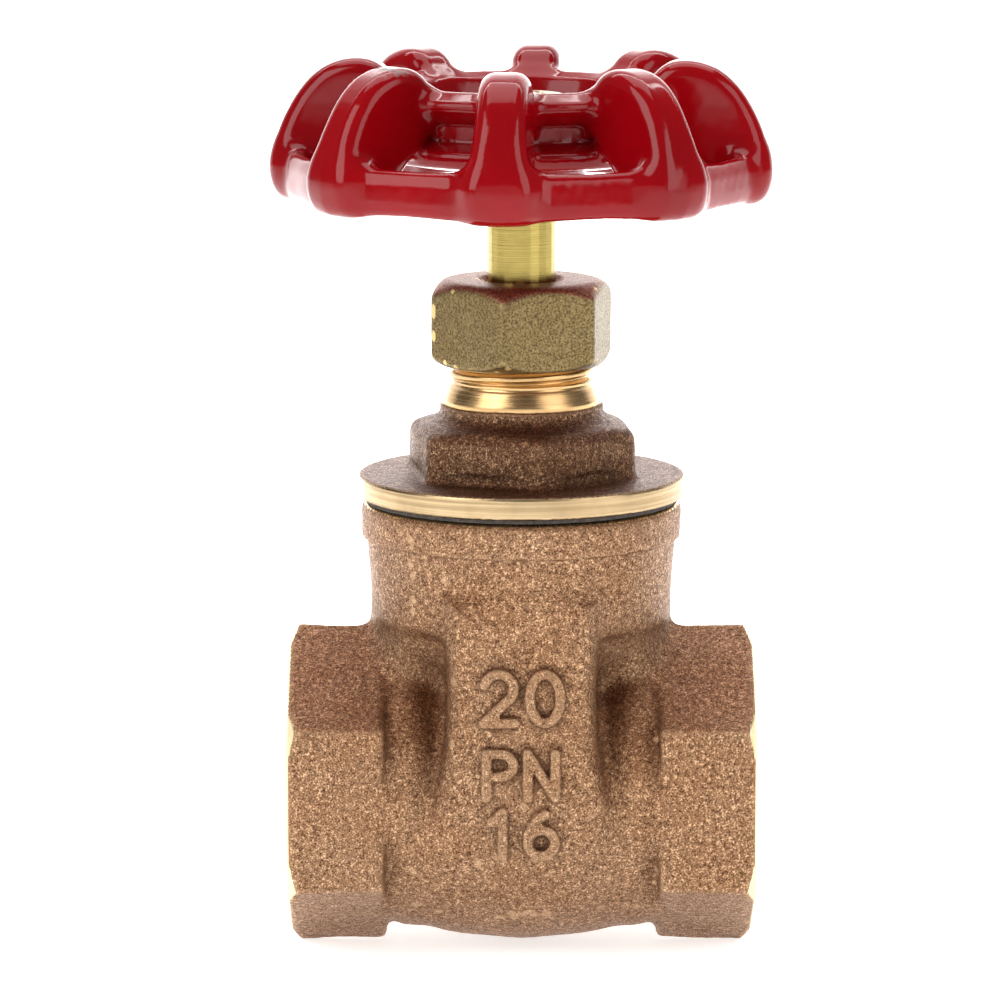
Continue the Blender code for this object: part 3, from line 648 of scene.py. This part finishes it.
def wheel_nut_field(x, y, z):
    """The nut that holds the handwheel."""
    upright = np.sqrt(x * x + y * y)
    bottom, top = WHEEL_NUT_LOW[2], WHEEL_NUT_HIGH[2]
    solid = smooth_cut(hexagon_field(x, y, 4.8, math.radians(12.0), 0.3), slab_field(z, bottom, top), 0.3)
    solid = smooth_cut(solid, (z - top) * 0.85 + (upright - 4.6) * 0.5, 0.3)
    return np.maximum(solid, -(upright - 2.75))


def washer_field(x, y, z):
    """The washer under the wheel's nut."""
    upright = np.sqrt(x * x + y * y)
    ring = smooth_cut(upright - 5.6, slab_field(z, WASHER_LOW[2], WASHER_HIGH[2]), 0.25)
    return np.maximum(ring, -(upright - 4.05))


def make_wheel_fixings(mats):
    """The nut and washer in the wheel's cup."""
    for name, field, box, node in (
        ("wheel_nut_zinc", wheel_nut_field, (WHEEL_NUT_LOW, WHEEL_NUT_HIGH), "wheel_nut"),
        ("wheel_washer_zinc", washer_field, (WASHER_LOW, WASHER_HIGH), "wheel_washer"),
    ):
        field_piece(name, field, box[0], box[1], GRID_FIXINGS, [mats["zinc"]], "wheel_and_stem",
                    (node,))


# ---------------------------------------------------------------- materials

class Nodes:
    """A short way to build a material's node tree."""

    def __init__(self, name):
        self.material = bpy.data.materials.new(name)
        self.material.use_nodes = True
        self.tree = self.material.node_tree
        self.shader = self.tree.nodes["Principled BSDF"]
        self.place = self.add("ShaderNodeTexCoord").outputs["Object"]

    def add(self, kind, **values):
        """A new node with its input sockets set or linked."""
        node = self.tree.nodes.new(kind)
        for key, value in values.items():
            self.put(node.inputs[key.replace("_", " ")], value)
        return node

    def put(self, socket, value):
        """Links a socket, or sets its constant."""
        if isinstance(value, bpy.types.NodeSocket):
            self.tree.links.new(value, socket)
        else:
            socket.default_value = value

    def noise(self, scale, detail=3.0, roughness=0.6, place=None, stretch=None):
        """Cloudy noise, scale in waves per metre."""
        if stretch:
            mapping = self.add("ShaderNodeMapping", Vector=place or self.place, Scale=stretch)
            place = mapping.outputs["Vector"]
        node = self.add("ShaderNodeTexNoise", Vector=place or self.place, Scale=scale, Detail=detail,
                        Roughness=roughness)
        return node.outputs["Fac"]

    def ramp(self, value, *stops):
        """A colour ramp of (position, colour) stops."""
        node = self.tree.nodes.new("ShaderNodeValToRGB")
        self.tree.links.new(value, node.inputs["Fac"])
        while len(node.color_ramp.elements) < len(stops):
            node.color_ramp.elements.new(0.5)
        for element, (position, colour) in zip(node.color_ramp.elements, stops):
            element.position = position
            element.color = (*colour, 1.0) if len(colour) == 3 else colour
        return node.outputs["Color"]

    def mix(self, share, first, second, blend="MIX"):
        """A mix of two colours."""
        node = self.tree.nodes.new("ShaderNodeMix")
        node.data_type = "RGBA"
        node.blend_type = blend
        self.put(node.inputs["Factor"], share)
        for socket, value in ((node.inputs[6], first), (node.inputs[7], second)):
            self.put(socket, (*value, 1.0) if isinstance(value, tuple) and len(value) == 3 else value)
        return node.outputs[2]

    def span(self, value, low, high, to_low=0.0, to_high=1.0):
        """Maps a value from one span onto another, clamped."""
        node = self.add("ShaderNodeMapRange", Value=value)
        for key, number in (("From Min", low), ("From Max", high), ("To Min", to_low), ("To Max", to_high)):
            node.inputs[key].default_value = number
        return node.outputs["Result"]

    def sum(self, first, second, operation="ADD"):
        """Arithmetic on two values."""
        node = self.tree.nodes.new("ShaderNodeMath")
        node.operation = operation
        self.put(node.inputs[0], first)
        self.put(node.inputs[1], second)
        return node.outputs["Value"]

    def bump(self, height, strength, distance, normal=None):
        """A bump of the given height in metres."""
        node = self.add("ShaderNodeBump", Height=height, Strength=strength, Distance=distance)
        if normal is not None:
            self.put(node.inputs["Normal"], normal)
        return node.outputs["Normal"]

    def facing_up(self):
        """How far the surface faces up, from -1 to 1."""
        geometry = self.add("ShaderNodeNewGeometry")
        split = self.add("ShaderNodeSeparateXYZ", Vector=geometry.outputs["Normal"])
        return split.outputs["Z"]

    def pointiness(self):
        """How sharply the mesh bends outwards, about 0.5 where it is flat."""
        return self.add("ShaderNodeNewGeometry").outputs["Pointiness"]

    def finish(self, colour, roughness, metallic, normal=None):
        """Wires the shader."""
        self.put(self.shader.inputs["Base Color"], colour)
        self.put(self.shader.inputs["Roughness"], roughness)
        self.put(self.shader.inputs["Metallic"], metallic)
        if normal is not None:
            self.put(self.shader.inputs["Normal"], normal)
        return self.material


def cast_bronze(name, dark, middle, bright, upper, grain_scale=5200.0):
    """Sand-cast bronze: fine sparkling grain, painted shade on the faces that point up (upper is its tint), a
    painted highlight with some rubbing wear on its ridges, and painted shade in its creases.
    """
    n = Nodes(name)
    grain = n.noise(grain_scale, 3.0, 0.65)
    coarse = n.noise(grain_scale * 0.36, 2.0, 0.5)
    spark = n.sum(n.sum(grain, 0.72, "MULTIPLY"), n.sum(coarse, 0.28, "MULTIPLY"))
    colour = n.ramp(spark, (0.40, dark), (0.48, middle), (0.54, middle), (0.62, bright))
    patches = n.noise(85.0, 3.0, 0.55)
    colour = n.mix(n.span(patches, 0.35, 0.7, 0.0, 0.6), colour, (0.82, 0.69, 0.56), "MULTIPLY")
    # painted shade: the faces that point up are multiplied towards the upper tint, darker because of how
    # light falls on them
    up = n.span(n.facing_up(), 0.05, 0.75, 0.0, 0.85)
    colour = n.mix(up, colour, upper, "MULTIPLY")
    # painted highlight with some rubbing wear: the sharp ridges are brightened towards the bright colour
    ridge_highlight_and_wear = n.span(n.pointiness(), 0.51, 0.58, 0.0, 0.35)
    colour = n.mix(ridge_highlight_and_wear, colour, bright)
    # painted shade: darkens the creases and valleys of the mesh, where shade falls
    hollow = n.span(n.pointiness(), 0.42, 0.49, 0.75, 0.0)
    colour = n.mix(hollow, colour, (0.055, 0.026, 0.015))
    roughness = n.span(spark, 0.38, 0.64, 0.62, 0.30)
    normal = n.bump(n.noise(520.0, 3.0, 0.6), 0.4, 0.0002)
    normal = n.bump(spark, 0.9, 0.00025, normal)
    return n.finish(colour, roughness, 0.9, normal)


def turned_metal(name, base, pale, ring_scale, roughness, along="z"):
    """Metal cut on a lathe: fine rings around the axis, slightly stained."""
    n = Nodes(name)
    stretch = {"z": (30.0, 30.0, ring_scale), "x": (ring_scale, 30.0, 30.0)}[along]
    rings = n.noise(1.0, 3.0, 0.6, stretch=stretch)
    stain = n.noise(160.0, 3.0, 0.6)
    colour = n.mix(n.span(rings, 0.3, 0.7), base, pale)
    stained = (base[0] * 0.6, base[1] * 0.5, base[2] * 0.4)
    colour = n.mix(n.span(stain, 0.45, 0.75, 0.0, 0.35), colour, stained)
    rough = n.span(n.sum(rings, stain), 0.7, 1.3, roughness - 0.08, roughness + 0.12)
    normal = n.bump(rings, 0.35, 0.00004)
    return n.finish(colour, rough, 1.0, normal)


def red_enamel():
    """Thick glossy red enamel with painted shade darkening its creases, and one chip down to grey iron on a
    fin.
    """
    n = Nodes("glossy_red_enamel")
    flow = n.noise(55.0, 2.0, 0.5)
    colour = n.mix(n.span(flow, 0.35, 0.65), (0.24, 0.0009, 0.0032), (0.18, 0.0007, 0.0026))
    # painted shade: the creases and hollows of the wheel are darkened towards deep red
    crease_shade = n.span(n.pointiness(), 0.42, 0.5, 0.85, 0.0)
    colour = n.mix(crease_shade, colour, (0.09, 0.0006, 0.002))
    reach = n.add("ShaderNodeVectorMath")
    reach.operation = "DISTANCE"
    n.put(reach.inputs[0], n.place)
    n.put(reach.inputs[1], CHIP_PLACE)
    near = n.span(reach.outputs["Value"], 0.0016, 0.0030, 1.0, 0.0)
    chip = n.sum(n.span(n.noise(520.0, 4.0, 0.7), 0.50, 0.54), near, "MULTIPLY")
    colour = n.mix(chip, colour, (0.20, 0.17, 0.15))
    rough = n.sum(n.span(n.noise(900.0, 2.0, 0.5), 0.3, 0.7, 0.09, 0.15), n.sum(chip, 0.45, "MULTIPLY"))
    peel = n.bump(n.noise(120.0, 1.0, 0.4), 0.12, 0.0001)
    n.shader.inputs["Specular IOR Level"].default_value = 0.25
    return n.finish(colour, rough, 0.0, peel)


def blasted_brass(name, dark, bright, scale=4200.0):
    """Fine blasted brass with an olive sparkle."""
    n = Nodes(name)
    grain = n.noise(scale, 3.0, 0.65)
    colour = n.ramp(grain, (0.33, dark), (0.66, bright))
    patches = n.noise(120.0, 3.0, 0.6)
    colour = n.mix(n.span(patches, 0.4, 0.7, 0.0, 0.3), colour, (0.55, 0.45, 0.25), "MULTIPLY")
    # painted highlight with some rubbing wear: the ridges are brightened towards pale brass
    ridge_highlight_and_wear = n.span(n.pointiness(), 0.515, 0.57, 0.0, 0.7)
    colour = n.mix(ridge_highlight_and_wear, colour, (0.86, 0.66, 0.30))
    normal = n.bump(grain, 0.6, 0.00012)
    return n.finish(colour, n.span(grain, 0.35, 0.7, 0.5, 0.3), 0.92, normal)


def dull_fibre(name, dark, light, scale):
    """Packed fibre or gasket sheet."""
    n = Nodes(name)
    weave = n.noise(scale, 4.0, 0.7)
    colour = n.mix(n.span(weave, 0.35, 0.65), dark, light)
    return n.finish(colour, n.span(weave, 0.3, 0.7, 0.75, 0.95), 0.0, n.bump(weave, 0.5, 0.0001))


def make_materials():
    """All finishes of the valve."""
    return {
        "cast": cast_bronze("cast_bronze_body", (0.080, 0.038, 0.020), (0.285, 0.158, 0.086),
                            (0.78, 0.52, 0.31), (0.70, 0.56, 0.50)),
        # the bonnet's bronze: its darker colours are partly its own tone and partly painted shade
        "cast_dark_and_shaded": cast_bronze("cast_bronze_bonnet", (0.045, 0.020, 0.011), (0.145, 0.075, 0.040),
                                 (0.54, 0.34, 0.20), (0.62, 0.48, 0.42)),
        "machined": turned_metal("machined_bronze", (0.72, 0.50, 0.26), (0.92, 0.72, 0.44), 4200.0, 0.3, "x"),
        "thread": turned_metal("cut_pipe_thread", (0.66, 0.45, 0.22), (0.88, 0.66, 0.38), 2200.0, 0.28, "x"),
        "rim": turned_metal("turned_flange_rim", (0.30, 0.205, 0.105), (0.60, 0.45, 0.26), 3800.0, 0.32),
        "turned": turned_metal("turned_brass", (0.42, 0.25, 0.10), (0.70, 0.47, 0.23), 5200.0, 0.26),
        "stem": turned_metal("polished_stem", (0.26, 0.195, 0.050), (0.42, 0.33, 0.105), 5200.0, 0.18),
        "nut": blasted_brass("blasted_brass_nut", (0.060, 0.040, 0.016), (0.27, 0.195, 0.088)),
        "nut_top": blasted_brass("forging_skin", (0.09, 0.035, 0.022), (0.36, 0.17, 0.10)),
        "enamel": red_enamel(),
        "zinc": blasted_brass("yellow_zinc", (0.30, 0.28, 0.18), (0.66, 0.63, 0.48), 2600.0),
        "packing": dull_fibre("greased_packing", (0.16, 0.15, 0.14), (0.42, 0.41, 0.38), 1600.0),
        "gasket": dull_fibre("gasket_sheet", (0.018, 0.014, 0.012), (0.07, 0.055, 0.045), 1800.0),
    }


def dress_cad_nodes(mats):
    """Gives the CAD nodes that stay on show their own finishes."""
    wanted = {
        "stem": "stem", "wedge_gate": "machined", "collar_washer": "turned", "stem_retainer_ring": "turned",
        "packing_washer": "turned", "gland_follower": "turned", "packing_ring_1": "packing",
        "packing_ring_2": "packing", "packing_ring_3": "packing", "bonnet_gasket": "gasket",
    }
    for node, key in wanted.items():
        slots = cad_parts[node].material_slots
        if not slots:
            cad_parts[node].data.materials.append(mats[key])
        for slot in slots:
            slot.material = mats[key]


# ---------------------------------------------------------------- room, light and camera

def make_room():
    """A pale floor that sweeps up behind the valve, and a white surround."""
    low, high = (-2.0, 1.6), (FLOOR_Z * MM, 2.2)
    bend, points = 0.6, []
    points.append((low[0], high[0]))
    for i in range(13):
        angle = math.pi / 2 * i / 12
        points.append((low[1] - bend + bend * math.sin(angle), high[0] + bend - bend * math.cos(angle)))
    points.append((low[1], high[1]))
    verts = [(x, y, z) for y, z in points for x in (-2.4, 2.4)]
    faces = [(2 * i, 2 * i + 1, 2 * i + 3, 2 * i + 2) for i in range(len(points) - 1)]
    mesh = bpy.data.meshes.new("sweep")
    mesh.from_pydata(verts, [], faces)
    mesh.polygons.foreach_set("use_smooth", [True] * len(faces))
    paper = Nodes("white_paper")
    fibre = paper.noise(300.0, 2.0, 0.5)
    colour = paper.mix(fibre, (0.90, 0.90, 0.90), (0.93, 0.93, 0.93))
    paper.put(paper.shader.inputs["Emission Color"], (1.0, 1.0, 1.0, 1.0))
    paper.put(paper.shader.inputs["Emission Strength"], PAPER_GLOW)
    mesh.materials.append(paper.finish(colour, 0.9, 0.0))
    sweep = bpy.data.objects.new("sweep", mesh)
    bpy.context.scene.collection.objects.link(sweep)
    world = bpy.data.worlds.new("studio")
    world.use_nodes = True
    world.node_tree.nodes["Background"].inputs["Color"].default_value = (1.0, 1.0, 1.0, 1.0)
    world.node_tree.nodes["Background"].inputs["Strength"].default_value = 0.16
    bpy.context.scene.world = world
    bpy.context.scene.view_settings.view_transform = "Standard"


def soft_box(name, place, target, width, height, power, colour=(1.0, 1.0, 1.0)):
    """A rectangular lamp that points at target, all in metres."""
    data = bpy.data.lights.new(name, "AREA")
    data.shape = "RECTANGLE"
    data.size, data.size_y = width, height
    data.energy = power
    data.color = colour
    lamp = bpy.data.objects.new(name, data)
    bpy.context.scene.collection.objects.link(lamp)
    lamp.location = place
    lamp.rotation_euler = (Vector(target) - Vector(place)).to_track_quat("-Z", "Y").to_euler()
    return lamp


MIDDLE = (0.0, 0.0, 0.03)
LAMPS = (  # name, place, target, width, height, watts
    ("key_left", (-0.50, -0.42, 0.42), MIDDLE, 0.50, 0.65, 4.4),
    ("fill_right", (0.55, -0.40, 0.30), MIDDLE, 0.45, 0.60, 2.6),
    ("top", (0.0, 0.08, 0.62), MIDDLE, 0.55, 0.40, 2.2),
    ("low_front", (0.0, -0.75, 0.02), MIDDLE, 0.9, 0.3, 0.7),
    ("backdrop", (0.0, 0.5, 0.9), (0.0, 1.4, 0.2), 1.6, 0.6, 40.0),
)


def make_lights():
    """Soft boxes left, right and above, as for a catalogue photograph."""
    for name, place, target, width, height, power in LAMPS:
        soft_box(name, place, target, width, height, power)


def make_camera():
    """A long lens a little above the bonnet, level with the flat pocket face."""
    aim = Vector(CAMERA_AIM) * MM
    place = Vector(CAMERA_PLACE) * MM
    data = bpy.data.cameras.new("camera")
    data.sensor_width = 36.0
    data.lens = CAMERA_LENS
    data.clip_start = 0.05
    data.clip_end = 20.0
    camera = bpy.data.objects.new("camera", data)
    bpy.context.scene.collection.objects.link(camera)
    camera.location = place
    camera.rotation_euler = (aim - place).to_track_quat("-Z", "Y").to_euler()
    bpy.context.scene.camera = camera


make_camera()
make_room()
make_lights()
finishes = make_materials()
make_body(finishes)
make_bonnet(finishes)
make_packing_nut(finishes)
make_handwheel(finishes)
make_wheel_fixings(finishes)
dress_cad_nodes(finishes)
